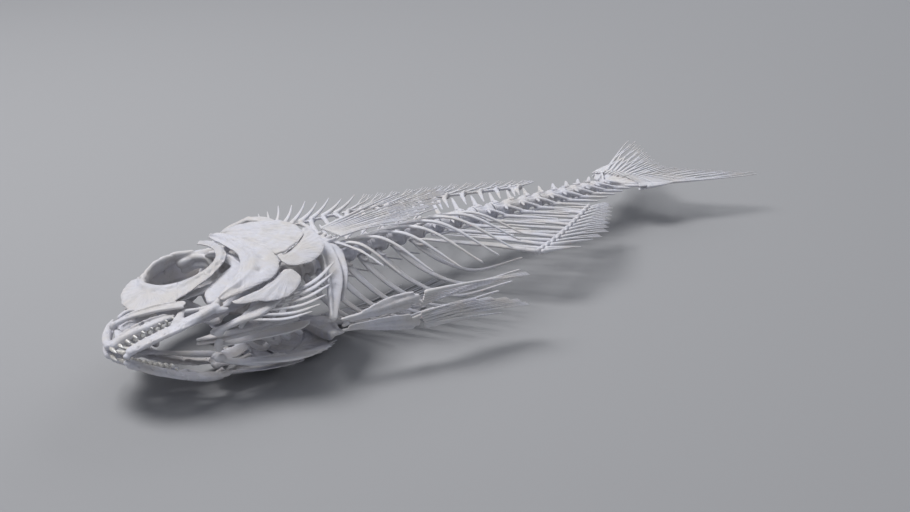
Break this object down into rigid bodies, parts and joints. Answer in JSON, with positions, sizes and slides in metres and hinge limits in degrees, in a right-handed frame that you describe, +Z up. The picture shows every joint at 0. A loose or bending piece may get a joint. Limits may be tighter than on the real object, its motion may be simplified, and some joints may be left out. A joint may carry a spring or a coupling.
{
  "type": "sea bream skeleton",
  "caption": "Bleached skeleton of a sea bream lying on its side, with its skull, gill covers, ribs, spine and folded fins complete, as a museum display piece.",
  "frame": {"origin": "on the floor, under the middle of the skeleton's box", "axes": "+X towards the tail fin, +Y towards the fish's back, +Z up, out of the fish's left side"},
  "size_m": [0.3498, 0.1468, 0.0442],
  "materials": {
    "bone": "dry bleached bone, matte with a faint sheen on the smooth parts",
    "plate_bone": "thin bleached bone plate, matte, with fine growth lines",
    "fin_bone": "slender bleached fin spines and rays, matte"
  },
  "bodies": {
    "root": {"braincase": "bone", "tail_column_front": "bone", "tail_column_back": "bone", "dorsal_fin_spiny": "fin_bone", "dorsal_fin_soft": "fin_bone", "anal_fin": "fin_bone", "tail_plates": "bone", "tail_fin_upper": "fin_bone", "tail_fin_lower": "fin_bone", "premaxilla_left": "bone", "premaxilla_right": "bone", "maxilla_left": "bone", "maxilla_right": "bone", "lower_jaw_left": "bone", "lower_jaw_right": "bone", "cheek_left": "bone", "cheek_right": "bone", "eye_ring_left": "plate_bone", "eye_ring_right": "plate_bone", "preopercle_left": "plate_bone", "preopercle_right": "plate_bone", "opercle_left": "plate_bone", "opercle_right": "plate_bone", "subopercle_left": "plate_bone", "subopercle_right": "plate_bone", "interopercle_left": "plate_bone", "interopercle_right": "plate_bone", "gill_rays_left": "bone", "gill_rays_right": "bone", "gill_arches_left": "bone", "gill_arches_right": "bone", "shoulder_left": "bone", "shoulder_right": "bone", "pectoral_fin_left": "fin_bone", "pectoral_fin_right": "fin_bone", "hip_left": "bone", "hip_right": "bone", "pelvic_fin_left": "fin_bone", "pelvic_fin_right": "fin_bone", "trunk_left": "bone", "trunk_right": "bone"}
  },
  "joints": []
}
